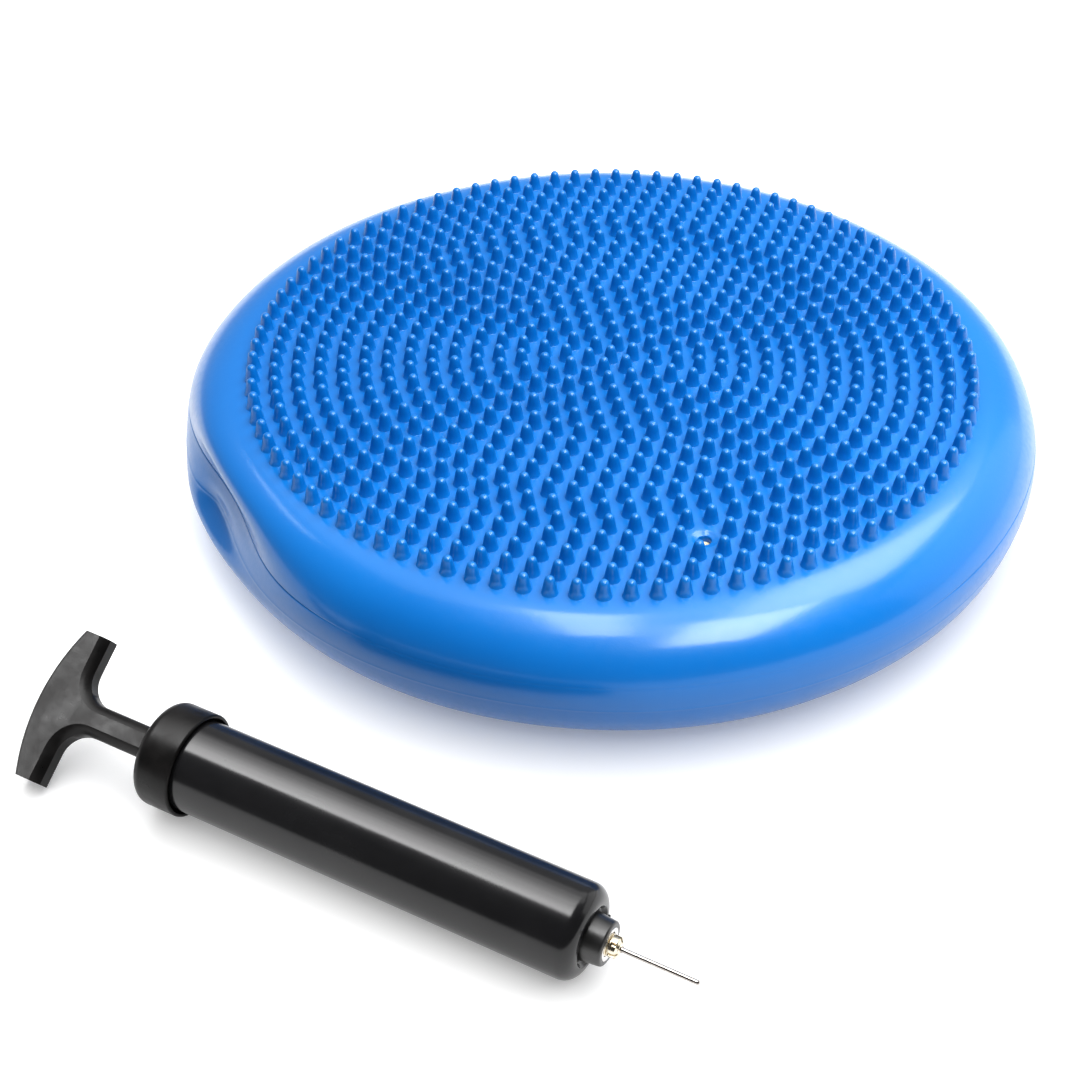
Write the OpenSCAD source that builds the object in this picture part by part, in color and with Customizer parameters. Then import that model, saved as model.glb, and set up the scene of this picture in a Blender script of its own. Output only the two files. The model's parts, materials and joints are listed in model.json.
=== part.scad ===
// Inflatable balance cushion with moulded studs, and the hand pump that fills it.
// The cushion's underside is centred on the origin, and the pump lies beside it.

/* [Cushion] */
// Outer diameter at the widest part of the rim
disc_d = 330; // [300:1:360]
// Height of the cushion without its studs
body_h = 53; // [46:0.5:64]
// Height at which the rim is widest
rim_z = 28.6; // [26:0.1:34]
// Thickness of the moulded wall
wall = 3; // [2:0.25:4]

/* [Studs] */
// Number of stud rings round the centre stud
rings = 16; // [8:1:16]
// Distance between two neighbouring rings
ring_pitch = 8.625; // [8:0.005:8.7]
// Height of a stud above the top of the cushion
stud_h = 7; // [4:0.5:10]
// Diameter of a stud at its foot
stud_d = 5.8; // [4:0.1:6.6]
// Diameter of a stud where its rounded tip begins
tip_d = 2.3; // [1.4:0.1:3]
// Direction of the first stud of ring 1, turned from +X towards +Y
ring_turn = 10.2; // [0:0.1:59]

/* [Valve] */
// Ring whose missing stud leaves room for the valve
valve_ring = 13; // [9:1:14]
// Place of the missing stud in its ring
valve_stud = 59; // [1:1:59]
// Diameter of the hole above the valve plug
valve_hole_d = 4.8; // [3:0.1:6]
// Diameter of the inflation needle's passage
needle_way_d = 1.7; // [1.7:0.05:2.2]

/* [Pump] */
// Outer diameter of the barrel
barrel_d = 31.2; // [28:0.2:34]
// Length of the barrel from its open end to the foot of its boss
barrel_l = 150.5; // [140:0.5:180]
// Thickness of the barrel's wall
barrel_wall = 2; // [1.5:0.1:3]
// Outer diameter of the screw cap
cap_d = 35.6; // [34.4:0.2:40]
// Diameter of the plunger rod
rod_d = 11.84; // [9:0.02:12]
// Length of the bare rod that shows at rest
rod_out = 26; // [20:1:40]
// Length of the handle's crossbar
handle_w = 53; // [40:1:70]
// Turn of the handle about the pump, until its lower end meets the floor
handle_roll = 33.4; // [30:0.1:35]
// Outer diameter of the inflation needle
needle_d = 1.6; // [1.4:0.05:1.6]
// Length of the needle ahead of its hub
needle_l = 26; // [20:1:40]

/* [Where the pump lies] */
// Place of the boss's foot along X
pump_x = -16.4; // [-60:0.2:60]
// Place of the boss's foot along Y
pump_y = -248.1; // [-320:0.1:-240]
// Direction in which the needle points, turned from +X towards +Y
pump_yaw = -28.8; // [-40:0.1:0]

/* [Hidden] */
cushion_blue = [0.02, 0.42, 0.86];
valve_cream = [0.86, 0.80, 0.62];
pump_black = [0.04, 0.04, 0.045];
seal_grey = [0.18, 0.18, 0.19];
steel = [0.72, 0.72, 0.73];
champagne = [0.80, 0.74, 0.62];
seat_white = [0.85, 0.85, 0.82];
eps = 0.01;

// Cushion: the shoulder and the belly are two arcs that meet where the rim is widest
disc_r = disc_d / 2;
shoulder_r = body_h - rim_z;
belly_r = rim_z;
groove_step = 25;
groove_w = 4;
groove_depth = 0.8;
stud_root = 0.6;
tip_h = 0.9;
tip_top_d = 1.1;
valve_dir = ring_turn + (valve_stud + 0.5) * 60 / valve_ring;
valve_r = valve_ring * ring_pitch;
dimple_d = 9.2;
dimple_depth = 1.2;
plug_d = 9;
plug_l = 12;
pocket_wall = 2.3;
plug_top = body_h - dimple_depth - 2.3;

// Pump: u runs along its axis, 0 at the foot of the boss and positive towards the needle
barrel_r = barrel_d / 2;
bore_r = barrel_r - barrel_wall;
nose_round = 5.3;
nose_front = 3.3;
nose_back = nose_front - nose_round;
nose_rim_r = barrel_r - nose_round;
nose_wall = 3.5;
thread_band_r = barrel_r + 0.9;
thread_band_l = 5.5;
boss_r = 7.2;
boss_foot_r = 8.1;
boss_l = 9.2;
cap_r = cap_d / 2;
cap_wall = 4;
cap_back = -barrel_l - 1.5 - cap_wall;
cap_lip = cap_back + 14.8;
cap_round = 3.5;
cap_fit = 0.08;
rod_r = rod_d / 2;
rod_flats = rod_d - 1.1;
cap_hole_r = rod_r + cap_fit;

// The pump rests on its cap's lip and on the barrel, just behind the nose round
pump_tilt = atan((cap_r - barrel_r) / (nose_back - cap_lip));
pump_z = barrel_r * cos(pump_tilt) + nose_back * sin(pump_tilt);

// Outlet: seat, ball, threaded socket, gasket and needle, in that order
chamber_r = 4;
chamber_back = -1.5;
seat_l = 1.5;
seat_hole_r = 1;
ball_r = 1.6;
ball_u = chamber_back + seat_l + sqrt(ball_r * ball_r - seat_hole_r * seat_hole_r) + 0.03;
socket_back = 4;
socket_r = 5.4;
socket_bore_r = 3.97;
socket_floor = 0.8;
gasket_l = 0.8;
gasket_hole_r = 1.2;
hub_thread_r = socket_bore_r - 0.06;
hub_back = socket_back + socket_floor + gasket_l + 0.05;
hub_r = 3.5;
hub_l = 3.4;
hub_slots = 6;
hub_front = boss_l + 0.1 + hub_l;
needle_r = needle_d / 2;
needle_bore_r = 0.5;
needle_back = 6.6;
needle_tip = hub_front + needle_l;
shank_r = needle_r + 0.2;
shank_front = hub_front + 0.8;
side_hole_r = 0.45;
side_hole_u = needle_tip - 4.2;

// Plunger: measured back from the nose's wall, with the rod drawn out by rod_out
stroke_in = rod_out - 1;
cup_front = -nose_wall - stroke_in - 2;
cup_lip_l = 4.7;
cup_base = 2;
cup_play = 0.05;
cup_seal_gap = 0.05;
cup_back = cup_front - cup_lip_l - cup_base;
head_front = cup_back - cup_play;
head_disc_l = 4;
head_l = 10;
head_disc_r = bore_r - 0.4;
sleeve_r = 8;
rod_front = head_front - head_disc_l - 0.3;
washer_l = 1;
washer_r = 7;
washer_back = cup_front - cup_lip_l + cup_play;
screw_r = 1.75;
screw_hole_r = 2;
screw_head_r = 3.4;
screw_head_l = 2.2;
screw_l = 20;
handle_fillet = 9;
handle_arc_r = 70;
handle_t = 9.2;
handle_end_l = 9.4;
handle_waist = cap_back - rod_out - handle_fillet;

// Rings 1, 3, 5 and 11 start in the common direction, the others half a step on
function half_step(ring) = (ring == 1 || ring == 3 || ring == 5 || ring == 11) ? 0 : 0.5;
function is_valve(ring, i) = ring == valve_ring && i == valve_stud;

module pump_place() {
  translate([pump_x, pump_y, pump_z])
    rotate([0, pump_tilt, pump_yaw])
      children();
}

// Turns a profile drawn as [radius, u] about the pump's axis
module spin() {
  rotate([0, 90, 0]) rotate_extrude($fn = 96) children();
}

module ring_bar(r, from, to) {
  translate([0, from]) square([r, to - from]);
}

module tube_bar(r_in, r_out, from, to) {
  translate([r_in, from]) square([r_out - r_in, to - from]);
}

// Half section of the cushion, drawn inwards from its outer face by inset
module cushion_section(inset) {
  intersection() {
    union() {
      translate([disc_r - shoulder_r, rim_z]) circle(r = shoulder_r - inset, $fn = 128);
      translate([0, rim_z]) square([disc_r - shoulder_r, shoulder_r - inset]);
    }
    translate([0, rim_z]) square([disc_r, body_h]);
  }
  intersection() {
    union() {
      translate([disc_r - belly_r, rim_z]) circle(r = belly_r - inset, $fn = 128);
      translate([0, inset]) square([disc_r - belly_r, rim_z - inset]);
    }
    square([disc_r, rim_z]);
  }
}

module stud() {
  rotate_extrude($fn = 32)
    polygon([
      [0, -stud_root], [stud_d / 2, -stud_root], [stud_d / 2, 0],
      [tip_d / 2, stud_h - tip_h], [tip_top_d / 2, stud_h], [0, stud_h]
    ]);
}

module studs() {
  translate([0, 0, body_h]) stud();
  for (ring = [1 : rings], i = [0 : 6 * ring - 1])
    if (!is_valve(ring, i))
      rotate([0, 0, ring_turn + (i + half_step(ring)) * 60 / ring])
        translate([ring * ring_pitch, 0, body_h]) stud();
}

module valve_place() {
  rotate([0, 0, valve_dir]) translate([valve_r, 0, 0]) children();
}

// One hollow moulding: walls, studs, grip grooves underneath and the valve's pocket
module cushion_shell() {
  dimple_r = (dimple_d * dimple_d / 4 + dimple_depth * dimple_depth) / (2 * dimple_depth);
  color(cushion_blue) difference() {
    union() {
      rotate_extrude($fn = 128) difference() {
        cushion_section(0);
        cushion_section(wall);
        for (r = [groove_step : groove_step : disc_r - belly_r - groove_w])
          translate([r, 0]) square([groove_w, groove_depth]);
      }
      studs();
      valve_place() translate([0, 0, plug_top - plug_l])
        cylinder(h = body_h - wall + 0.5 - plug_top + plug_l, r = plug_d / 2 + pocket_wall, $fn = 64);
    }
    valve_place() {
      translate([0, 0, body_h - dimple_depth + dimple_r]) sphere(r = dimple_r, $fn = 96);
      translate([0, 0, plug_top - eps]) cylinder(h = body_h, d = valve_hole_d, $fn = 48);
      translate([0, 0, plug_top - plug_l - 1]) cylinder(h = plug_l + 1, d = plug_d, $fn = 64);
    }
  }
}

// Self-closing rubber plug that the inflation needle is pushed through
module valve_plug() {
  color(valve_cream) valve_place() translate([0, 0, plug_top - plug_l]) difference() {
    cylinder(h = plug_l, d = plug_d, $fn = 64);
    translate([0, 0, -1]) cylinder(h = plug_l + 2, d = needle_way_d, $fn = 32);
    translate([0, 0, plug_l - 0.8]) cylinder(h = 1, r1 = needle_way_d / 2, r2 = needle_way_d / 2 + 1, $fn = 32);
  }
}

// Face that falls back from the nose's rim to the foot of the tapered boss
module nose_face() {
  polygon([[0, nose_back - eps], [nose_rim_r, nose_back - eps], [nose_rim_r, nose_front],
    [boss_foot_r, 0], [boss_r, boss_l], [0, boss_l]]);
}

module pump_barrel() {
  color(pump_black) pump_place() spin() difference() {
    union() {
      ring_bar(barrel_r, -barrel_l, nose_back);
      translate([nose_rim_r, nose_back]) intersection() {
        circle(r = nose_round, $fn = 64);
        square(nose_round + 1);
      }
      nose_face();
      ring_bar(thread_band_r, -barrel_l, thread_band_l - barrel_l);
    }
    ring_bar(bore_r, -barrel_l - 1, -nose_wall);
    ring_bar(seat_hole_r, -nose_wall - 1, chamber_back + 1);
    ring_bar(chamber_r, chamber_back, socket_back + 1);
    ring_bar(socket_r, socket_back, boss_l + 1);
  }
}

module pump_cap() {
  color(pump_black) pump_place() spin() difference() {
    union() {
      ring_bar(cap_r, cap_back + cap_round, cap_lip);
      ring_bar(cap_r - cap_round, cap_back, cap_back + cap_round + eps);
      translate([cap_r - cap_round, cap_back + cap_round]) intersection() {
        circle(r = cap_round, $fn = 64);
        translate([0, -cap_round - 1]) square(cap_round + 1);
      }
    }
    ring_bar(cap_hole_r, cap_back - 1, cap_lip + 1);
    ring_bar(thread_band_r + cap_fit, cap_back + cap_wall, cap_lip + 1);
  }
}

module outlet_seat() {
  color(seat_white) pump_place() spin()
    tube_bar(seat_hole_r, chamber_r, chamber_back, chamber_back + seat_l);
}

module outlet_ball() {
  color(steel) pump_place() translate([ball_u, 0, 0]) sphere(r = ball_r, $fn = 48);
}

// Threaded metal insert in the boss, shown by its thread's core
module needle_socket() {
  color(steel) pump_place() spin() difference() {
    ring_bar(socket_r, socket_back, boss_l + 0.1);
    ring_bar(gasket_hole_r, socket_back - 1, boss_l);
    ring_bar(socket_bore_r, socket_back + socket_floor, boss_l + 1);
  }
}

module socket_gasket() {
  color(seal_grey) pump_place() spin()
    tube_bar(gasket_hole_r, hub_thread_r, socket_back + socket_floor + 0.02, hub_back - 0.03);
}

// Screwed foot of the needle, with a castellated head that fingers can turn
module needle_hub() {
  color(champagne) pump_place() difference() {
    spin() difference() {
      union() {
        ring_bar(hub_thread_r, hub_back, boss_l + 0.15);
        ring_bar(hub_r, boss_l + 0.1, hub_front - 0.6);
        polygon([[0, hub_front - 0.7], [hub_r, hub_front - 0.7], [1.5, hub_front + 0.5], [0, hub_front + 0.5]]);
      }
      ring_bar(needle_bore_r, hub_back - 1, hub_front + 1);
      ring_bar(shank_r, needle_back, hub_front + 1);
    }
    for (i = [0 : hub_slots - 1])
      rotate([i * 360 / hub_slots, 0, 0])
        translate([boss_l + 1.1, -0.55, 2]) cube([hub_l, 1.1, hub_r]);
  }
}

// Steel tube with a thicker foot, a closed, rounded tip and a side hole for the air
module needle_tube() {
  color(steel) pump_place() difference() {
    union() {
      translate([needle_back, 0, 0]) rotate([0, 90, 0])
        cylinder(h = shank_front - needle_back, r = shank_r, $fn = 32);
      translate([shank_front - 1, 0, 0]) rotate([0, 90, 0])
        cylinder(h = needle_tip - needle_r - shank_front + 1, r = needle_r, $fn = 32);
      translate([needle_tip - needle_r, 0, 0]) rotate([0, 90, 0]) sphere(r = needle_r, $fn = 32);
    }
    translate([needle_back - 1, 0, 0]) rotate([0, 90, 0])
      cylinder(h = side_hole_u - needle_back + 2, r = needle_bore_r, $fn = 24);
    translate([side_hole_u, 0, 0]) rotate([120, 0, 0])
      cylinder(h = needle_d, r = side_hole_r, $fn = 24);
  }
}

// Outline of the crossbar: an arc outside, and arcs that run into the rod inside
module handle_outline() {
  intersection() {
    difference() {
      translate([handle_waist - handle_end_l - 5.3 + handle_arc_r, 0]) circle(r = handle_arc_r, $fn = 180);
      for (side = [-1, 1])
        translate([handle_waist + handle_fillet, side * (rod_flats / 2 + handle_fillet)])
          circle(r = handle_fillet, $fn = 96);
      for (side = [-1, 1])
        translate([handle_waist, side * (rod_flats / 2 + handle_fillet + 20) - 20])
          square([40, 40]);
      for (side = [-1, 1])
        translate([handle_waist + handle_fillet, side * (rod_flats / 2 + 20) - 20])
          square([200, 40]);
    }
    translate([handle_waist - 40, -handle_w / 2]) square([40 + handle_fillet, handle_w]);
  }
}

// Crossbar and rod are one moulding, drilled for the piston's screw
module plunger_handle() {
  color(pump_black) pump_place() rotate([handle_roll, 0, 0]) difference() {
    union() {
      translate([0, 0, -handle_t / 2]) linear_extrude(height = handle_t) handle_outline();
      intersection() {
        translate([handle_waist - 2, 0, 0]) rotate([0, 90, 0])
          cylinder(h = rod_front - handle_waist + 2, r = rod_r, $fn = 96);
        translate([handle_waist - 3, -rod_flats / 2, -rod_flats / 2])
          cube([rod_front - handle_waist + 4, rod_flats, rod_flats]);
      }
    }
    translate([rod_front - screw_l, 0, 0]) rotate([0, 90, 0])
      cylinder(h = screw_l + 1, r = screw_r, $fn = 32);
  }
}

module piston_head() {
  color(seat_white) pump_place() spin() difference() {
    union() {
      ring_bar(head_disc_r, head_front - head_disc_l, head_front);
      ring_bar(sleeve_r, head_front - head_l, head_front);
    }
    ring_bar(screw_hole_r, head_front - head_l - 1, head_front + 1);
    ring_bar(rod_r, head_front - head_l - 1, rod_front);
  }
}

// Cup seal: its lip faces the nose, so it seals on the push and lets air by on the pull
module piston_cup() {
  color(seal_grey) pump_place() spin() difference() {
    ring_bar(bore_r - cup_seal_gap, cup_back, cup_front);
    ring_bar(screw_hole_r, cup_back - 1, cup_front + 1);
    ring_bar(bore_r - 1.4, cup_back + cup_base, cup_front + 1);
  }
}

module piston_washer() {
  color(steel) pump_place() spin()
    tube_bar(screw_hole_r, washer_r, washer_back, washer_back + washer_l);
}

module piston_screw() {
  color(steel) pump_place() difference() {
    spin() {
      ring_bar(screw_r, rod_front - screw_l + 2, washer_back + washer_l + eps);
      ring_bar(screw_head_r, washer_back + washer_l, washer_back + washer_l + screw_head_l);
    }
    for (a = [0, 90])
      rotate([a, 0, 0])
        translate([washer_back + washer_l + 1, -0.4, -2]) cube([screw_head_l, 0.8, 4]);
  }
}

cushion_shell();
valve_plug();
pump_barrel();
pump_cap();
outlet_seat();
outlet_ball();
needle_socket();
socket_gasket();
needle_hub();
needle_tube();
plunger_handle();
piston_head();
piston_cup();
piston_washer();
piston_screw();
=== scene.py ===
"""Looks of a studded balance cushion and its hand pump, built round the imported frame.

Shapes are worked out in millimetres and turned into metres when a mesh is made.
Pump pieces use the pump's own axes: u runs along the barrel, 0 at the foot of its boss
and positive towards the needle.
"""

import json
import math
import random

import bpy
from mathutils import Matrix, Vector
from mathutils.geometry import delaunay_2d_cdt

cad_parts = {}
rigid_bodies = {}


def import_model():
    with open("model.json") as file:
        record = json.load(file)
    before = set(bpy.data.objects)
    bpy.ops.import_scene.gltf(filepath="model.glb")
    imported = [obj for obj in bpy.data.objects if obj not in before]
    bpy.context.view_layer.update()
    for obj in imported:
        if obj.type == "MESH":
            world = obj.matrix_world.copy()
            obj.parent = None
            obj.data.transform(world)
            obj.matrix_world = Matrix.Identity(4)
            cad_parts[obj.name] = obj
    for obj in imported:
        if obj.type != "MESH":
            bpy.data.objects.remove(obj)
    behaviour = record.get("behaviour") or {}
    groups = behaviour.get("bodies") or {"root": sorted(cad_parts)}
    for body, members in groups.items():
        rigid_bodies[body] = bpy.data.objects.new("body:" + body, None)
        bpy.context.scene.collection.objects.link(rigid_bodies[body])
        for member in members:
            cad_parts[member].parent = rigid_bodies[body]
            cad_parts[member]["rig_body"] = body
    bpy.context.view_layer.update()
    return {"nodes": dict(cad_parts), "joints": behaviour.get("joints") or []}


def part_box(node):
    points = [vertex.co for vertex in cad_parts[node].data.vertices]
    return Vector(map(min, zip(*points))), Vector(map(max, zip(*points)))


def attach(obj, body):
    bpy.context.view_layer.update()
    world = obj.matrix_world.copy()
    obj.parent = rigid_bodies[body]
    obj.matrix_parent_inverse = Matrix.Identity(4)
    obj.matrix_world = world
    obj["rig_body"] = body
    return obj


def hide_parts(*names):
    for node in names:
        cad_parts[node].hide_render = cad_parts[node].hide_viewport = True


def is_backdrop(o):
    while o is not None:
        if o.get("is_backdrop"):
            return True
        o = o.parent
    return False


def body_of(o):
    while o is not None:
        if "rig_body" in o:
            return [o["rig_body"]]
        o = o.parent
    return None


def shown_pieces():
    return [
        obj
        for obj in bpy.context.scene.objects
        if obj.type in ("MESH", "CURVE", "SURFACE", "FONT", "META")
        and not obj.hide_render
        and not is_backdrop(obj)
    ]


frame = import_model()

MM = 0.001
DICE = random.Random(7)

# Cushion, in millimetres
SHELL_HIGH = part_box("cushion_shell")[1] / MM
PLUG_LOW, PLUG_HIGH = (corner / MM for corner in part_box("valve_plug"))
DISC_R = SHELL_HIGH.x
STUD_H = 7.0
BODY_H = SHELL_HIGH.z - STUD_H
RIM_Z = 28.6
SHOULDER_R = BODY_H - RIM_Z
BELLY_R = RIM_Z
FLAT_R = DISC_R - SHOULDER_R
RIM_START = FLAT_R + 8
WALL = 3.0
AROUND = 240
SEAM_UPPER_Z = 35.0
SEAM_UPPER_DEPTH = 0.34
SEAM_UPPER_WIDTH = 0.12
SEAM_LOWER_Z = 25.5
SEAM_LOWER_RISE = 0.12
SEAM_LOWER_WIDTH = 0.25
SEAM_FAINTEST = 0.12
BROAD_WAVE = 0.22
FINE_WAVE = 0.14

# Grip grooves of the underside
GROOVE_RADII = (125, 100, 75, 50, 25)
GROOVE_WIDTH = 4.0
GROOVE_DRAFT = 0.2
GROOVE_DEPTH = 0.8

# Studs, as radius and height of each ring of points, from the foot up
STUD_RINGS = 16
STUD_PITCH = 8.625
STUD_TURN = 10.2
STUD_SIDES = 16
STUD_PROFILE = ((3.02, 0.0), (2.8, 0.22), (2.3, 3.2), (1.8, 5.4), (1.55, 6.2), (1.0, 6.8))
HALF_STEP_FREE = (1, 3, 5, 11)
VALVE_CLEARANCE = 2

# Valve
VALVE = (PLUG_LOW + PLUG_HIGH) / 2
PLUG_R = (PLUG_HIGH.x - PLUG_LOW.x) / 2
HOLE_R = 2.4
DIMPLE_R = 4.6
DIMPLE_DEPTH = 1.2
POCKET_WALL = 2.3

# Dent in the rim, deepest at the upper seam, with a fold at the lower one and a swelling behind
DENT_AT = -158.0
DENT_WIDTH = 11.5
DENT_DEPTH = 12.0
DENT_LOW_Z = 17.0
DENT_TOP_Z = 51.0
FOLD_AT = -160.5
FOLD_WIDTHS = (3.0, 7.0)
FOLD_DEPTH = 4.5
FOLD_Z = 25.0
FOLD_HEIGHT = 3.2
SWELL_AT = -190.0
SWELL_DEPTH = 3.4
SWELL_FADE = (20, 44)
SWELL_WIDTH = 60

# Pump, in millimetres, measured along u
BARREL_R = 15.6
BORE_R = 13.6
BARREL_BACK = -150.5
THREAD_BAND_FRONT = -145.0
THREAD_BAND_R = 16.5
NOSE_ROUND = 5.3
NOSE_FRONT = 3.3
NOSE_WALL = 3.5
BOSS_R = 7.2
BOSS_FOOT_R = 8.1
BOSS_FRONT = 9.2
SOCKET_R = 5.4
SOCKET_BACK = 4.0
SOCKET_FRONT = BOSS_FRONT + 0.1
SOCKET_THREAD_R = 3.97
SOCKET_MOUTH_R = 4.35
SOCKET_FLOOR = 0.8
AIR_HOLE_R = 1.2
CHAMBER_R = 4.0
CHAMBER_BACK = -1.5
SEAT_HOLE_R = 1.0
CAP_R = 17.8
CAP_BACK = -156.0
CAP_FRONT = -141.2
CAP_WALL = 4.0
CAP_ROUND = 3.5
CAP_BORE_R = 16.58
ROD_HALF = 5.37
ROD_FRONT = -41.55
CAP_HOLE_R = 6.0
HANDLE_WAIST = -191.0
HANDLE_FILLET = 9.0
HANDLE_HALF = 26.5
HANDLE_ARC_R = 70.0
HANDLE_APEX = -205.7
HANDLE_T = 9.2
HANDLE_ROLL = 33.4
HUB_R = 3.5
HUB_BACK = 5.65
HUB_FRONT = 12.7
HUB_HEAD_BACK = SOCKET_FRONT
HUB_SHOULDER = 0.5
HUB_DOME = 1.1
HUB_SLOTS = 6
HUB_SLOT_DEPTH = 1.15
HUB_THREAD_ROOT_R = 3.49
HUB_THREAD_DEPTH = 0.38
HUB_THREAD_PITCH = 25.4 / 26
SHANK_R = 1.0
NEEDLE_BORE_R = 0.5
NEEDLE_BACK = 6.6

# Floor: radii in millimetres, and its gap under the object in metres
FLOOR_RADII = (900, 2500, 9000)
FLOOR_GAP = 0.00005

# Lights, in metres, and the direction in which the barrel lies, in degrees
CEILING = 1.2
STRIP_ALONG = -0.42
STRIP_LENGTH = 1.3
PUMP_YAW = -28.8

# Camera: place in metres, turns in degrees
CAMERA_PLACE = (-0.02805, -0.61457, 0.47436)
CAMERA_TILT = 50.224
CAMERA_ROLL = -0.579


def pump_frame():
    """The pump's axes as a matrix, from the joint on which its needle turns."""
    joint = next(j for j in frame["joints"] if j["name"] == "needle_unscrew")
    along = Vector(joint["axis"]).normalized()
    across = Vector((-along.y, along.x, 0)).normalized()
    up = along.cross(across)
    nose = Vector(joint["pos_m"]) - along * BOSS_FRONT * MM
    axes = Matrix((along, across, up)).transposed().to_4x4()
    return Matrix.Translation(nose) @ axes


PUMP = pump_frame()


# ---------------------------------------------------------------- mesh building


class Skin:
    """Points, in millimetres, and faces of one piece as it is built ring by ring."""

    def __init__(self):
        self.points = []
        self.faces = []
        self.slots = []

    def ring(self, points):
        first = len(self.points)
        self.points.extend(points)
        return list(range(first, len(self.points)))

    def face(self, corners, slot=0):
        self.faces.append(tuple(corners))
        self.slots.append(slot)

    def band(self, a, b, slot=0):
        """Quads between two closed rings with as many points."""
        for i in range(len(a)):
            j = (i + 1) % len(a)
            self.face((a[i], a[j], b[j], b[i]), slot)

    def fan(self, ring, tip):
        (peak,) = self.ring([tip])
        for i in range(len(ring)):
            self.face((ring[i], ring[(i + 1) % len(ring)], peak))

    def fill(self, outer, holes=(), flip=False):
        """Triangles over the flat area inside outer and outside every hole, seen along Z."""
        rings = [outer, *holes]
        order = [i for ring in rings for i in ring]
        place = {index: k for k, index in enumerate(order)}
        edges = [
            (place[ring[i]], place[ring[(i + 1) % len(ring)]])
            for ring in rings
            for i in range(len(ring))
        ]
        flat = [Vector(self.points[i][:2]) for i in order]
        hole_of = {i: n for n, ring in enumerate(holes) for i in ring}
        result = delaunay_2d_cdt(flat, edges, [], 1, 1e-6)
        sources = [order[found[0]] for found in result[3]]
        for triangle in result[2]:
            corners = [sources[i] for i in triangle]
            owners = {hole_of.get(i) for i in corners}
            if len(owners) == 1 and None not in owners:
                continue
            self.face(reversed(corners) if flip else corners)

    def build(self, name, materials, place=None, crease=38):
        mesh = bpy.data.meshes.new(name)
        mesh.from_pydata([Vector(p) * MM for p in self.points], [], self.faces)
        for material in materials:
            mesh.materials.append(material)
        mesh.polygons.foreach_set("material_index", self.slots)
        mesh.validate()
        mesh.shade_smooth()
        mesh.set_sharp_from_angle(angle=math.radians(crease))
        obj = bpy.data.objects.new(name, mesh)
        bpy.context.scene.collection.objects.link(obj)
        if place is not None:
            obj.matrix_world = place
        return obj


def circle(radius, z, sides, turn=0.0, centre=(0.0, 0.0)):
    step = 2 * math.pi / sides
    return [
        (
            centre[0] + radius * math.cos(turn + i * step),
            centre[1] + radius * math.sin(turn + i * step),
            z,
        )
        for i in range(sides)
    ]


def bump(x, centre, width):
    return math.exp(-0.5 * ((x - centre) / width) ** 2)


def ramp(x, low, high):
    t = min(1.0, max(0.0, (x - low) / (high - low)))
    return t * t * (3 - 2 * t)


# ---------------------------------------------------------------- cushion


def turn_from(turn, start):
    """Angle in degrees from start to turn, between -180 and 180."""
    return (turn - start + 180) % 360 - 180


def dent_depth(turn, z):
    """How far the rim is pushed in, at an angle in degrees and a height."""
    upper = DENT_DEPTH * bump(turn_from(turn, DENT_AT), 0, DENT_WIDTH)
    if z >= SEAM_UPPER_Z:
        return upper * (1 - ramp(z, SEAM_UPPER_Z - 1, DENT_TOP_Z))
    beside = turn_from(turn, FOLD_AT)
    fold = FOLD_DEPTH * bump(beside, 0, FOLD_WIDTHS[beside > 0]) * bump(z, FOLD_Z, FOLD_HEIGHT)
    return fold + upper * ramp(z, DENT_LOW_Z, SEAM_UPPER_Z + 1)


def swell(turn):
    """How far the rim bulges behind the dent, fading out over the back of the cushion."""
    beside = turn_from(turn, SWELL_AT)
    if beside > 0:
        return SWELL_DEPTH * (1 - ramp(beside, *SWELL_FADE))
    return SWELL_DEPTH * bump(beside, 0, SWELL_WIDTH)


def seam_inset(turn, z):
    """Depth of the seams: the upper one fades out where the rim faces the front and the back."""
    lower = -SEAM_LOWER_RISE * bump(z, SEAM_LOWER_Z, SEAM_LOWER_WIDTH)
    left = 1 - ramp(turn, -138, -124)
    right = ramp(turn, -52, -36) * (1 - ramp(turn, 60, 80))
    back_left = ramp(turn, 110, 130)
    side = max(left, right, back_left)
    upper = SEAM_UPPER_DEPTH * bump(z, SEAM_UPPER_Z, SEAM_UPPER_WIDTH)
    return lower + upper * (SEAM_FAINTEST + (1 - SEAM_FAINTEST) * side)


def rim_point(turn, r, z):
    """A point of the rim, after the dent and the slight unevenness of a soft moulding."""
    t = math.radians(turn)
    if r > RIM_START:
        r -= seam_inset(turn, z)
    edge = ramp(r, FLAT_R - 6, DISC_R)
    wave = BROAD_WAVE * math.sin(5 * t + 0.6) + FINE_WAVE * math.sin(9 * t + z * 0.12)
    pushed = r + edge * (wave + swell(turn)) - dent_depth(turn, z) * ramp(r, FLAT_R, RIM_START)
    return (pushed * math.cos(t), pushed * math.sin(t), z)


def rim_turns():
    """Angles round the rim in degrees, twice as close together through the dent."""
    step = 360 / AROUND
    turns = []
    for i in range(AROUND):
        turn = -180 + i * step
        turns.append(turn)
        if abs(turn - DENT_AT) < 3 * DENT_WIDTH or turn > 360 + DENT_AT - 3 * DENT_WIDTH:
            turns.append(turn + step / 2)
    return turns


def arc_point(tilt, inset=0.0):
    """Radius and height of the half section, by its slope: 0 on top, 90 at the rim, 180 below."""
    t = math.radians(tilt)
    radius = (SHOULDER_R if tilt <= 90 else BELLY_R) - inset
    centre = DISC_R - (SHOULDER_R if tilt <= 90 else BELLY_R)
    return centre + radius * math.sin(t), RIM_Z + radius * math.cos(t)


def seam_tilts():
    upper = math.degrees(math.acos((SEAM_UPPER_Z - RIM_Z) / SHOULDER_R))
    lower = math.degrees(math.acos((SEAM_LOWER_Z - RIM_Z) / BELLY_R))
    return upper, lower


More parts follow.
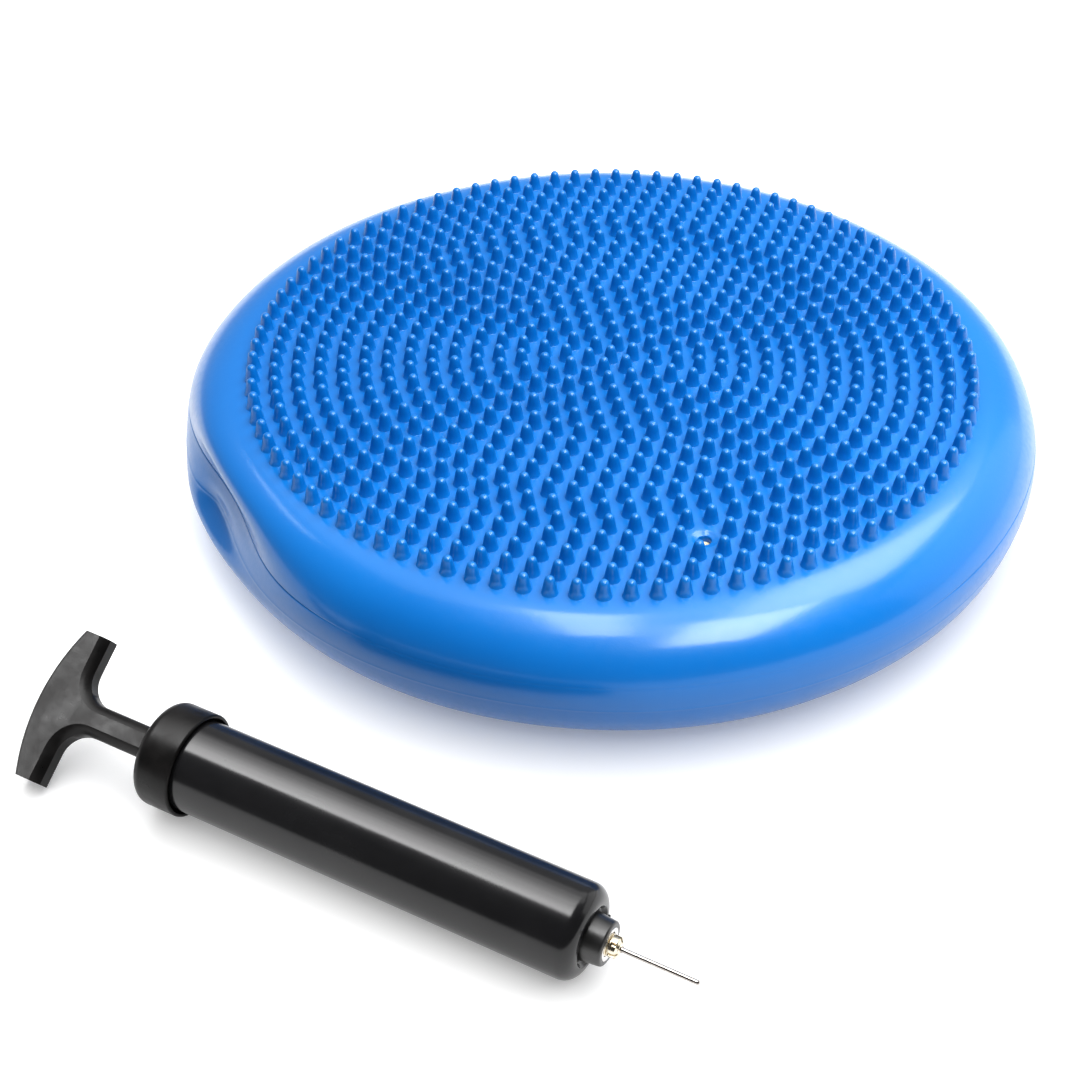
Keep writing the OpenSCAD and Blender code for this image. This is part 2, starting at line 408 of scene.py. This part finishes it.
def rim_section():
    """Outer half section as (radius, height), with a groove and a flash line at the seams."""
    upper, lower = seam_tilts()
    section = [arc_point(t) for t in range(0, 72, 4)]
    section += [arc_point(upper + d) for d in (-1.6, -0.7, -0.25, 0, 0.25, 0.7, 1.6)]
    section += [arc_point(t) for t in (78, 80.5, 83, 85.5, 88, 90, 92, 93.5, 95)]
    section += [arc_point(lower + d) for d in (-0.6, 0, 0.6)]
    fold_tilts = (97.6, 98.8, 100, 101.5, 103, 104.5, 106, 107.5, 109, 110.5, 112)
    section += [arc_point(t) for t in fold_tilts]
    section += [arc_point(t) for t in range(116, 181, 4)]
    return section


def underside_section():
    """Grip grooves of the underside, from the outermost one to the middle."""
    section = []
    for r in GROOVE_RADII:
        outer = r + GROOVE_WIDTH
        section += [(outer, 0.0), (outer - GROOVE_DRAFT, GROOVE_DEPTH)]
        section += [(r + GROOVE_DRAFT, GROOVE_DEPTH), (r, 0.0)]
    return section


def stud_places():
    """(x, y) of every stud, leaving out the one that stands aside for the valve."""
    places = [(0.0, 0.0)]
    for ring in range(1, STUD_RINGS + 1):
        shift = 0.0 if ring in HALF_STEP_FREE else 0.5
        for i in range(6 * ring):
            turn = math.radians(STUD_TURN + (i + shift) * 60 / ring)
            x, y = ring * STUD_PITCH * math.cos(turn), ring * STUD_PITCH * math.sin(turn)
            if math.hypot(x - VALVE.x, y - VALVE.y) > VALVE_CLEARANCE:
                places.append((x, y))
    return places


def add_stud(skin, x, y):
    """One stud, and the ring of points where it meets the flat top."""
    turn = DICE.random()
    rings = []
    for radius, height in STUD_PROFILE:
        rings.append(skin.ring(circle(radius, BODY_H + height, STUD_SIDES, turn, (x, y))))
    for below, above in zip(rings, rings[1:]):
        skin.band(below, above)
    skin.fan(rings[-1], (x, y, BODY_H + STUD_H))
    return rings[0]


def add_valve(skin):
    """Dimple, hole and pocket. Returns the rings where they meet the outer and inner tops."""
    centre = (VALVE.x, VALVE.y)
    sides = 32
    inner_top = BODY_H - WALL
    edge_z = BODY_H - 0.06
    steps = [(DIMPLE_R + 0.5, BODY_H), (DIMPLE_R, edge_z)]
    for i in range(1, 6):
        r = DIMPLE_R + (HOLE_R + 0.15 - DIMPLE_R) * i / 5
        share = 1 - (r / DIMPLE_R) ** 2
        steps.append((r, edge_z - DIMPLE_DEPTH * share))
    mouth = steps[-1][1]
    steps += [(HOLE_R, mouth - 0.2), (HOLE_R, PLUG_HIGH.z), (PLUG_R, PLUG_HIGH.z)]
    steps += [(PLUG_R, PLUG_LOW.z), (PLUG_R + POCKET_WALL, PLUG_LOW.z)]
    steps += [(PLUG_R + POCKET_WALL, inner_top)]
    rings = [skin.ring(circle(r, z, sides, 0, centre)) for r, z in steps]
    for outer, inner in zip(rings, rings[1:]):
        skin.band(outer, inner)
    return rings[0], rings[-1]


def build_cushion(material):
    skin = Skin()
    turns = rim_turns()
    top_r = FLAT_R + 0.5

    def around(r, z):
        return skin.ring([rim_point(turn, r, z) for turn in turns])

    feet = [add_stud(skin, x, y) for x, y in stud_places()]
    valve_top, valve_inside = add_valve(skin)
    section = rim_section() + underside_section()
    outer = [around(r, z) for r, z in section[1:]]
    outer.insert(0, skin.ring([
        (top_r * math.cos(math.radians(t)), top_r * math.sin(math.radians(t)), BODY_H)
        for t in turns
    ]))
    skin.fill(outer[0], [*feet, valve_top])
    for above, below in zip(outer, outer[1:]):
        skin.band(below, above)
    skin.fan(outer[-1][::-1], (0, 0, 0))

    inner = [around(r, z) for r, z in (arc_point(t, WALL) for t in (0, 15, 30, 45, 60, 75, 90))]
    inner += [around(r, z) for r, z in (arc_point(t, WALL) for t in (100, 115, 130, 145, 160, 180))]
    skin.fill(inner[0], [valve_inside], flip=True)
    for above, below in zip(inner, inner[1:]):
        skin.band(above, below)
    skin.fan(inner[-1], (0, 0, WALL))

    cushion = skin.build("cushion", [material])
    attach(cushion, "cushion")
    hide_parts("cushion_shell")
    return cushion


# ---------------------------------------------------------------- turned pieces of the pump


def rounded(profile, steps=5):
    """A closed profile of (u, radius, corner radius) with its corners turned into arcs."""
    result = []
    for i, (u, r, corner) in enumerate(profile):
        here = Vector((u, r))
        before = Vector(profile[i - 1][:2])
        after = Vector(profile[(i + 1) % len(profile)][:2])
        if corner == 0:
            result.append(tuple(here))
            continue
        start, end = (before - here).normalized(), (after - here).normalized()
        angle = start.angle(end)
        reach = corner / math.tan(angle / 2)
        middle = here + (start + end).normalized() * corner / math.sin(angle / 2)
        a = here + start * reach - middle
        b = here + end * reach - middle
        sweep = a.angle(b)
        for k in range(steps + 1):
            share = k / steps
            weight_a = math.sin((1 - share) * sweep) / math.sin(sweep)
            weight_b = math.sin(share * sweep) / math.sin(sweep)
            result.append(tuple(middle + a * weight_a + b * weight_b))
    return result


def hoop(u, r, sides):
    """Points of a circle about the pump's axis."""
    angles = [2 * math.pi * i / sides for i in range(sides)]
    return [(u, r * math.cos(angle), r * math.sin(angle)) for angle in angles]


def turned(skin, profile, sides, slot_of=lambda u, r: 0):
    """Adds a closed profile of (u, radius), turned about the pump's axis."""
    rings = [skin.ring(hoop(u, r, sides)) for u, r in profile]
    for i, ring in enumerate(rings):
        following = (i + 1) % len(rings)
        middle_u = (profile[i][0] + profile[following][0]) / 2
        middle_r = (profile[i][1] + profile[following][1]) / 2
        skin.band(rings[following], ring, slot_of(middle_u, middle_r))


def build_barrel(gloss, boss):
    """Barrel with its rounded nose, and the boss that holds the needle's socket."""
    profile = rounded([
        (BARREL_BACK, BORE_R, 0.3),
        (BARREL_BACK, THREAD_BAND_R, 0.3),
        (THREAD_BAND_FRONT, THREAD_BAND_R, 0.3),
        (THREAD_BAND_FRONT, BARREL_R, 0.3),
        (NOSE_FRONT, BARREL_R, NOSE_ROUND),
        (NOSE_FRONT, BARREL_R - NOSE_ROUND - 0.3, 0.45),
        (0, BOSS_FOOT_R, 0.7),
        (BOSS_FRONT, BOSS_R, 0.8),
        (BOSS_FRONT, SOCKET_R, 0.15),
        (SOCKET_BACK, SOCKET_R, 0),
        (SOCKET_BACK, CHAMBER_R, 0),
        (CHAMBER_BACK, CHAMBER_R, 0),
        (CHAMBER_BACK, SEAT_HOLE_R, 0),
        (-NOSE_WALL, SEAT_HOLE_R, 0),
        (-NOSE_WALL, BORE_R, 1.0),
    ], steps=8)

    def slot_of(u, r):
        return 1 if u > 0.3 and SOCKET_R - 0.3 < r < BOSS_FOOT_R else 0

    skin = Skin()
    turned(skin, profile, 128, slot_of)
    add_gate_mark(skin)
    barrel = skin.build("barrel", [gloss, boss], PUMP)
    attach(barrel, "pump")
    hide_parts("pump_barrel")


def add_gate_mark(skin):
    """The broken-off gate that moulding leaves on the nose, and a smaller dot near it."""
    sides = 12
    marks = (  # turn in degrees, distance from the axis, foot along u, half width, height
        (-14, 11.9, 3.0, 0.5, 0.65),
        (18, 9.6, 2.2, 0.3, 0.2),
    )
    for turn, r, foot, width, height in marks:
        t = math.radians(turn)
        y, z = r * math.cos(t), r * math.sin(t)
        rings = []
        steps = (
            (1.15, foot - 0.4),
            (1.0, foot + 0.05),
            (0.85, foot + height - 0.1),
            (0.5, foot + height),
        )
        for share, u in steps:
            rings.append(skin.ring([
                (
                    u,
                    y + width * share * math.cos(2 * math.pi * i / sides),
                    z + width * share * math.sin(2 * math.pi * i / sides),
                )
                for i in range(sides)
            ]))
        for below, above in zip(rings, rings[1:]):
            skin.band(below, above)
        skin.face(rings[0][::-1])
        skin.face(rings[-1])


def build_cap(satin):
    profile = rounded([
        (CAP_BACK, CAP_HOLE_R, 0.4),
        (CAP_BACK, CAP_R, CAP_ROUND),
        (CAP_FRONT, CAP_R, 0.7),
        (CAP_FRONT, CAP_BORE_R, 0.3),
        (CAP_BACK + CAP_WALL, CAP_BORE_R, 0.5),
        (CAP_BACK + CAP_WALL, CAP_HOLE_R, 0.3),
    ], steps=7)
    skin = Skin()
    turned(skin, profile, 128)
    cap = skin.build("screw_cap", [satin], PUMP)
    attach(cap, "pump")
    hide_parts("pump_cap")


def build_socket(nickel):
    profile = rounded([
        (SOCKET_BACK, AIR_HOLE_R, 0),
        (SOCKET_BACK, SOCKET_R, 0.2),
        (SOCKET_FRONT, SOCKET_R, 0.15),
        (SOCKET_FRONT, SOCKET_MOUTH_R, 0.12),
        (BOSS_FRONT - 0.25, SOCKET_THREAD_R, 0.05),
        (SOCKET_BACK + SOCKET_FLOOR, SOCKET_THREAD_R, 0),
        (SOCKET_BACK + SOCKET_FLOOR, AIR_HOLE_R, 0),
    ], steps=4)
    skin = Skin()
    turned(skin, profile, 72)
    socket = skin.build("needle_socket_ring", [nickel], PUMP)
    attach(socket, "pump")
    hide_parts("needle_socket")


def hub_radius(u, angle):
    """Outer radius of the needle's hub: a thread behind, a castellated head in front."""
    if u < HUB_HEAD_BACK:
        phase = (u / HUB_THREAD_PITCH - angle / (2 * math.pi)) % 1
        crest = 1 - abs(2 * phase - 1)
        run_in = ramp(u, HUB_BACK, HUB_BACK + 0.6)
        run_in *= 1 - ramp(u, HUB_HEAD_BACK - 0.5, HUB_HEAD_BACK)
        return HUB_THREAD_ROOT_R + HUB_THREAD_DEPTH * crest * run_in
    across = math.cos(HUB_SLOTS * angle)
    in_slot = ramp(across, 0.35, 0.75) * ramp(u, HUB_HEAD_BACK + 0.7, HUB_HEAD_BACK + 1.0)
    shoulder = HUB_SHOULDER * (1 - ramp(u, HUB_HEAD_BACK, HUB_HEAD_BACK + 0.35))
    dome = HUB_DOME * ramp(u, HUB_FRONT - HUB_DOME, HUB_FRONT) ** 2
    slot_depth = HUB_SLOT_DEPTH * (1 - 0.6 * ramp(u, HUB_FRONT - 0.8, HUB_FRONT))
    return HUB_R - shoulder - dome - slot_depth * in_slot


def build_hub(champagne):
    sides = 96
    steps = 84
    skin = Skin()
    rows = [HUB_BACK + (HUB_FRONT - HUB_BACK) * i / steps for i in range(steps + 1)]
    rings = []
    for u in rows:
        ring = []
        for i in range(sides):
            angle = 2 * math.pi * i / sides
            r = hub_radius(u, angle)
            ring.append((u, r * math.cos(angle), r * math.sin(angle)))
        rings.append(skin.ring(ring))
    inside = (
        (HUB_FRONT + 0.25, 1.6),
        (HUB_FRONT + 0.4, SHANK_R),
        (NEEDLE_BACK, SHANK_R),
        (NEEDLE_BACK, NEEDLE_BORE_R),
        (HUB_BACK, NEEDLE_BORE_R),
    )
    rings += [skin.ring(hoop(u, r, sides)) for u, r in inside]
    for i, ring in enumerate(rings):
        skin.band(rings[(i + 1) % len(rings)], ring)
    hub = skin.build("needle_hub_crown", [champagne], PUMP)
    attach(hub, "needle")
    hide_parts("needle_hub")


# ---------------------------------------------------------------- handle


def handle_half_outline():
    """One half of the T, from the rod's front to the top of the crossbar's arc.

    Each point is (u, y, edge width, edge depth, half thickness), all in millimetres.
    """
    rod_edge = (2.93, 2.93, ROD_HALF)
    bar_edge = (3.4, 2.3, HANDLE_T / 2)
    outer_edge = (1.1, 0.9, HANDLE_T / 2)
    points = [(ROD_FRONT, ROD_HALF, *rod_edge)]
    for i in range(1, 9):
        u = ROD_FRONT + (HANDLE_WAIST + HANDLE_FILLET - ROD_FRONT) * i / 8
        points.append((u, ROD_HALF, *rod_edge))
    for i in range(1, 11):
        t = math.radians(9 * i)
        share = ramp(i, 0, 10)
        edge = [a + (b - a) * share for a, b in zip(rod_edge, bar_edge)]
        u = HANDLE_WAIST + HANDLE_FILLET - HANDLE_FILLET * math.sin(t)
        y = ROD_HALF + HANDLE_FILLET - HANDLE_FILLET * math.cos(t)
        points.append((u, y, *edge))
    for y in (18.5, 22.5, HANDLE_HALF):
        points.append((HANDLE_WAIST, y, *bar_edge))
    centre = HANDLE_APEX + HANDLE_ARC_R
    end_turn = math.asin(HANDLE_HALF / HANDLE_ARC_R)
    for i in range(13):
        t = end_turn * (1 - i / 12)
        u = centre - HANDLE_ARC_R * math.cos(t)
        points.append((u, HANDLE_ARC_R * math.sin(t), *outer_edge))
    return points


def handle_outline():
    half = handle_half_outline()
    mirrored = [(u, -y, *edge) for u, y, *edge in half[-2::-1]]
    return half + mirrored


def inset_outline(outline, share):
    """The outline moved inwards by a share of each point's edge width."""
    moved = []
    count = len(outline)
    for i, (u, y, width, depth, half) in enumerate(outline):
        here = Vector((u, y))
        before = Vector(outline[i - 1][:2])
        after = Vector(outline[(i + 1) % count][:2])
        into = (here - before).normalized()
        out = (after - here).normalized()
        left = Vector((-into.y, into.x)) + Vector((-out.y, out.x))
        normal = left.normalized()
        stretch = 1 / max(0.6, normal.dot(Vector((-out.y, out.x))))
        if abs(abs(y) - HANDLE_HALF) < 0.01:
            normal, stretch = Vector((-1 if u > HANDLE_WAIST - 1 else 1, 0)), 1
        moved.append(here + normal * width * share * stretch)
    return moved


def build_handle(satin):
    """Crossbar and rod as one moulding: a flat face with wide eased edges on both sides."""
    outline = handle_outline()
    skin = Skin()
    bulge = 0.44
    levels = []
    for k in range(6):
        t = math.radians(18 * k)
        straight = k / 5
        inward = (1 - bulge) * straight + bulge * (1 - math.cos(t))
        rise = (1 - bulge) * straight + bulge * math.sin(t)
        levels.append((inward, rise))
    rings = []
    for side in (-1, 1):
        for inward, rise in levels if side == 1 else levels[::-1]:
            flat = inset_outline(outline, inward)
            rings.append(skin.ring([
                (p.x, p.y, side * (row[4] - row[3] * (1 - rise)))
                for p, row in zip(flat, outline)
            ]))
    for below, above in zip(rings, rings[1:]):
        skin.band(above, below)
    skin.fill(rings[-1])
    skin.fill(rings[0], flip=True)
    place = PUMP @ Matrix.Rotation(math.radians(HANDLE_ROLL), 4, "X")
    handle = skin.build("handle_and_rod", [satin], place, crease=32)
    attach(handle, "plunger")
    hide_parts("plunger_handle")
    return handle


# ---------------------------------------------------------------- materials


class Look:
    """A material being made: its node tree, and short ways to add to it."""

    def __init__(self, name, **shader):
        self.material = bpy.data.materials.new(name)
        self.material.use_nodes = True
        self.tree = self.material.node_tree
        self.shader = self.tree.nodes["Principled BSDF"]
        for socket, value in shader.items():
            self.shader.inputs[socket.replace("_", " ")].default_value = value
        self.where = self.tree.nodes.new("ShaderNodeTexCoord").outputs["Object"]

    def node(self, kind, **settings):
        made = self.tree.nodes.new(kind)
        for key, value in settings.items():
            setattr(made, key, value)
        return made

    def plug(self, source, target):
        self.tree.links.new(source, target)

    def stretch(self, scale, turn=(0, 0, 0)):
        """Coordinates scaled, and turned first when the mesh isn't along the pump's axes."""
        mapping = self.node("ShaderNodeMapping")
        mapping.inputs["Scale"].default_value = scale
        mapping.inputs["Rotation"].default_value = turn
        self.plug(self.where, mapping.inputs["Vector"])
        return mapping.outputs["Vector"]

    def noise(self, scale, detail=3.0, roughness=0.5, where=None):
        made = self.node("ShaderNodeTexNoise")
        made.inputs["Scale"].default_value = scale
        made.inputs["Detail"].default_value = detail
        made.inputs["Roughness"].default_value = roughness
        self.plug(where or self.where, made.inputs["Vector"])
        return made.outputs["Fac"]

    def spread(self, value, low, high, start=0.3, end=0.7):
        """A grey value mapped from start..end to low..high."""
        made = self.node("ShaderNodeMapRange")
        made.inputs["From Min"].default_value = start
        made.inputs["From Max"].default_value = end
        made.inputs["To Min"].default_value = low
        made.inputs["To Max"].default_value = high
        self.plug(value, made.inputs["Value"])
        return made.outputs["Result"]

    def tint(self, value, dark, light, start=0.3, end=0.7):
        """Base colour from a grey value: dark up to start, light from end on."""
        made = self.node("ShaderNodeValToRGB")
        elements = made.color_ramp.elements
        for element, at, colour in zip(elements, (start, end), (dark, light)):
            element.position = at
            element.color = (*colour, 1)
        self.plug(value, made.inputs["Fac"])
        self.set("Base Color", made.outputs["Color"])

    def relief(self, *layers):
        """Bumps on top of each other, each (height, strength, depth in metres)."""
        last = None
        for height, strength, depth in layers:
            made = self.node("ShaderNodeBump")
            made.inputs["Strength"].default_value = strength
            made.inputs["Distance"].default_value = depth
            self.plug(height, made.inputs["Height"])
            if last is not None:
                self.plug(last, made.inputs["Normal"])
            last = made.outputs["Normal"]
        self.plug(last, self.shader.inputs["Normal"])
        self.plug(last, self.shader.inputs["Coat Normal"])

    def set(self, socket, source):
        self.plug(source, self.shader.inputs[socket])


def cushion_blue():
    look = Look("cushion_blue", Specular_IOR_Level=0.35, Coat_Weight=0.42, Coat_Roughness=0.13)
    cloud = look.noise(14, 4)
    fine = look.noise(1500, 2)
    peel = look.noise(420, 3, 0.6)
    look.tint(cloud, (0.0, 0.113, 0.362), (0.0, 0.122, 0.386), 0.35, 0.65)
    look.set("Roughness", look.spread(peel, 0.30, 0.38))
    look.relief((peel, 0.2, 0.00005), (fine, 0.4, 0.00005))
    return look.material


def valve_cream():
    look = Look("valve_cream", Specular_IOR_Level=0.4)
    cloud = look.noise(300, 4)
    look.tint(cloud, (0.72, 0.62, 0.40), (0.82, 0.74, 0.52))
    look.set("Roughness", look.spread(cloud, 0.5, 0.7))
    look.relief((look.noise(2500, 2), 0.4, 0.00004))
    return look.material


def barrel_black():
    look = Look("barrel_black", Specular_IOR_Level=0.5)
    cloud = look.noise(60, 4)
    drawn = look.noise(300, 3, where=look.stretch((0.06, 1, 1)))
    look.tint(cloud, (0.010, 0.010, 0.011), (0.015, 0.015, 0.016))
    look.set("Roughness", look.spread(drawn, 0.15, 0.21))
    look.relief((look.noise(90, 2), 0.12, 0.0001), (drawn, 0.06, 0.00002))
    return look.material


def boss_black():
    """The barrel's boss is the same plastic, left duller by the mould."""
    look = Look("boss_black", Specular_IOR_Level=0.9)
    cloud = look.noise(200, 4)
    look.tint(cloud, (0.009, 0.009, 0.009), (0.014, 0.014, 0.014))
    look.set("Roughness", look.spread(cloud, 0.3, 0.42))
    look.relief((look.noise(1500, 3), 0.2, 0.00002))
    return look.material


def fittings_black():
    look = Look("fittings_black", Specular_IOR_Level=0.25)
    blotch = look.noise(110, 5, 0.6)
    broad = look.noise(32, 2)
    fine = look.noise(2600, 3, 0.6)
    look.tint(blotch, (0.005, 0.005, 0.005), (0.010, 0.009, 0.009))
    look.set("Roughness", look.spread(blotch, 0.26, 0.44))
    look.relief((broad, 0.25, 0.0012), (blotch, 0.2, 0.0004), (fine, 0.3, 0.00004))
    return look.material


def seal_grey():
    look = Look("seal_grey")
    cloud = look.noise(200, 4)
    look.tint(cloud, (0.12, 0.12, 0.13), (0.18, 0.18, 0.19))
    look.set("Roughness", look.spread(cloud, 0.55, 0.75))
    look.relief((look.noise(2200, 2), 0.35, 0.00004))
    return look.material


def inner_white():
    look = Look("inner_white")
    cloud = look.noise(90, 4)
    look.tint(cloud, (0.78, 0.78, 0.74), (0.86, 0.86, 0.83))
    look.set("Roughness", look.spread(cloud, 0.35, 0.5))
    look.relief((look.noise(1500, 2), 0.25, 0.00004))
    return look.material


def metal(name, dark, light, rough_low, rough_high, squeeze):
    """A bright metal whose fine marks are drawn out by squeeze, a scale along each axis."""
    look = Look(name, Metallic=1.0)
    marks = look.noise(2400, 3, where=look.stretch(squeeze))
    cloud = look.noise(500, 3)
    look.tint(cloud, dark, light)
    look.set("Roughness", look.spread(marks, rough_low, rough_high))
    look.relief((marks, 0.25, 0.00002))
    return look.material


# ---------------------------------------------------------------- stage, lights and camera


def build_floor():
    skin = Skin()
    rings = [skin.ring(circle(r, 0, 96)) for r in FLOOR_RADII]
    skin.fan(rings[0], (0, 0, 0))
    for inner, outer in zip(rings, rings[1:]):
        skin.band(inner, outer)
    skin.faces = [face if len(face) == 3 else face[::-1] for face in skin.faces]
    look = Look("floor_white", Roughness=0.9, Specular_IOR_Level=0.0, Emission_Strength=0.2)
    look.shader.inputs["Emission Color"].default_value = (1, 1, 1, 1)
    look.tint(look.noise(6, 2), (0.90, 0.90, 0.90), (0.92, 0.92, 0.92))
    floor = skin.build("floor", [look.material])
    floor.location.z = -FLOOR_GAP
    floor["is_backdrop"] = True
    return floor


def panel(name, centre, size, aim, radiance, turn=0.0):
    """A rectangular studio light that shines towards aim, with the same radiance all over."""
    data = bpy.data.lights.new(name, "AREA")
    data.shape = "RECTANGLE"
    data.size, data.size_y = size
    data.energy = radiance * math.pi * size[0] * size[1]
    lamp = bpy.data.objects.new(name, data)
    lamp.location = centre
    towards = (Vector(aim) - Vector(centre)).to_track_quat("-Z", "Y").to_matrix()
    about = Matrix.Rotation(math.radians(turn), 3, "Z")
    lamp.rotation_euler = (towards @ about).to_euler()
    bpy.context.scene.collection.objects.link(lamp)
    return lamp


def softbox(name, x, y, size, radiance, turn=0.0):
    """A panel at the ceiling that shines straight down."""
    return panel(name, (x, y, CEILING), size, (x, y, 0), radiance, turn)


def ceiling_strip(name, across, width, radiance):
    """A long light over the pump, along its barrel, at a distance across it in metres."""
    turn = math.radians(PUMP_YAW)
    x = STRIP_ALONG * math.cos(turn) - across * math.sin(turn)
    y = STRIP_ALONG * math.sin(turn) + across * math.cos(turn)
    return softbox(name, x, y, (STRIP_LENGTH, width), radiance, PUMP_YAW)


def shine_only_on(lamp, name, objects):
    """Keeps a light to some of the objects."""
    group = bpy.data.collections.new(name)
    for obj in objects:
        group.objects.link(obj)
    lamp.light_linking.receiver_collection = group


def build_world():
    """Pale studio: brighter behind the object than in front of it, and white to the camera.

    Mirror-like reflections see a darker front than the one that lights the object.
    """
    world = bpy.data.worlds.new("studio")
    world.use_nodes = True
    bpy.context.scene.world = world
    nodes, links = world.node_tree.nodes, world.node_tree.links
    background = nodes["Background"]
    where = nodes.new("ShaderNodeTexCoord").outputs["Generated"]
    split = nodes.new("ShaderNodeSeparateXYZ")
    links.new(where, split.inputs[0])
    seen = nodes.new("ShaderNodeLightPath")

    def shade(front, behind):
        made = nodes.new("ShaderNodeMapRange")
        made.inputs["From Min"].default_value = -0.4
        made.inputs["From Max"].default_value = 0.6
        made.inputs["To Min"].default_value = front
        made.inputs["To Max"].default_value = behind
        links.new(split.outputs["Y"], made.inputs["Value"])
        return made.outputs["Result"]

    def choose(ray, other, strength):
        made = nodes.new("ShaderNodeMix")
        links.new(seen.outputs[ray], made.inputs["Factor"])
        links.new(other, made.inputs["A"])
        if isinstance(strength, float):
            made.inputs["B"].default_value = strength
        else:
            links.new(strength, made.inputs["B"])
        return made.outputs["Result"]

    lit = choose("Is Glossy Ray", shade(0.4, 0.7), shade(0.05, 0.38))
    links.new(choose("Is Camera Ray", lit, 1.0), background.inputs["Strength"])
    background.inputs["Color"].default_value = (1, 1, 1, 1)


def build_lights():
    """Lights of the cushion and of the pump, as lists, and those of the handle and the floor."""
    cushion_lights = [
        softbox("key_softbox", 0.49, -0.60, (0.50, 0.90), 13.5),
        softbox("side_softbox", 0.72, 0.36, (0.8, 0.95), 6.0),
        softbox("left_softbox", -0.05, -0.14, (0.22, 0.80), 11.0),
        softbox("left_strip", -0.86, 0.8, (0.07, 0.6), 8.0),
    ]
    pump_lights = [
        ceiling_strip("pump_strip_1", -0.45, 0.14, 10.0),
        ceiling_strip("pump_strip_2", -0.31, 0.14, 8.2),
        ceiling_strip("pump_strip_3", -0.16, 0.16, 6.4),
        ceiling_strip("pump_strip_4", 0.02, 0.20, 4.4),
        ceiling_strip("pump_strip_5", 0.23, 0.22, 2.6),
        ceiling_strip("pump_strip_6", 0.50, 0.32, 1.2),
    ]
    handle_light = softbox("handle_softbox", -1.28, -0.37, (0.5, 0.5), 17.0)
    panel("back_softbox", (0.3, 0.65, 1.25), (1.9, 1.2), (0.3, 0.6, 0), 1.0)
    panel("right_fill", (1.6, 0.3, 0.6), (1.8, 1.1), (0, 0, 0.1), 0.9)
    floor_light = panel("floor_overhead", (0.2, 0.2, 2.4), (4.5, 4.5), (0.2, 0.2, 0), 1.2)
    return cushion_lights, pump_lights, handle_light, floor_light


def build_camera():
    """Looks along +Y and down, turned a little about its own line of sight."""
    data = bpy.data.cameras.new("camera")
    data.sensor_width = 36
    data.lens = 63.8
    data.clip_start = 0.01
    data.clip_end = 50
    camera = bpy.data.objects.new("camera", data)
    camera.matrix_world = (
        Matrix.Translation(CAMERA_PLACE)
        @ Matrix.Rotation(math.radians(CAMERA_TILT), 4, "X")
        @ Matrix.Rotation(math.radians(CAMERA_ROLL), 4, "Z")
    )
    bpy.context.scene.collection.objects.link(camera)
    bpy.context.scene.camera = camera


def dress(node, material):
    mesh = frame["nodes"][node].data
    mesh.materials.clear()
    mesh.materials.append(material)


def main():
    satin = fittings_black()
    boss = boss_black()
    cushion = build_cushion(cushion_blue())
    build_barrel(barrel_black(), boss)
    build_cap(satin)
    handle = build_handle(satin)
    plate = metal("nickel", (0.62, 0.61, 0.60), (0.74, 0.73, 0.71), 0.12, 0.24, (1, 0.2, 0.2))
    build_socket(plate)
    brass = (0.70, 0.62, 0.48), (0.82, 0.76, 0.63)
    build_hub(metal("champagne_brass", *brass, 0.16, 0.3, (1, 0.3, 0.3)))
    tube = metal("needle_steel", (0.40, 0.37, 0.35), (0.50, 0.47, 0.44), 0.14, 0.24, (0.1, 0.1, 1))
    dress("needle_tube", tube)
    dress("valve_plug", valve_cream())
    grey = seal_grey()
    dress("socket_gasket", grey)
    dress("piston_cup", grey)
    white = inner_white()
    dress("outlet_seat", white)
    dress("piston_head", white)
    zinc = metal("screw_steel", (0.52, 0.52, 0.54), (0.66, 0.66, 0.68), 0.25, 0.4, (1, 1, 1))
    dress("outlet_ball", zinc)
    dress("piston_washer", zinc)
    dress("piston_screw", zinc)

    floor = build_floor()
    build_world()
    build_camera()
    cushion_lights, pump_lights, handle_light, floor_light = build_lights()
    pump_pieces = [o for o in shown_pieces() if body_of(o) != ["cushion"]]
    shine_only_on(floor_light, "lit_by_overhead", [floor])
    shine_only_on(handle_light, "lit_by_handle_softbox", [handle])
    for lamp in pump_lights:
        shine_only_on(lamp, "lit_by_" + lamp.name, pump_pieces)
    for lamp in cushion_lights:
        shine_only_on(lamp, "lit_by_" + lamp.name, [cushion, frame["nodes"]["valve_plug"]])
    bpy.context.scene.view_settings.view_transform = "Standard"
    bpy.context.scene.view_settings.look = "Medium High Contrast"


main()
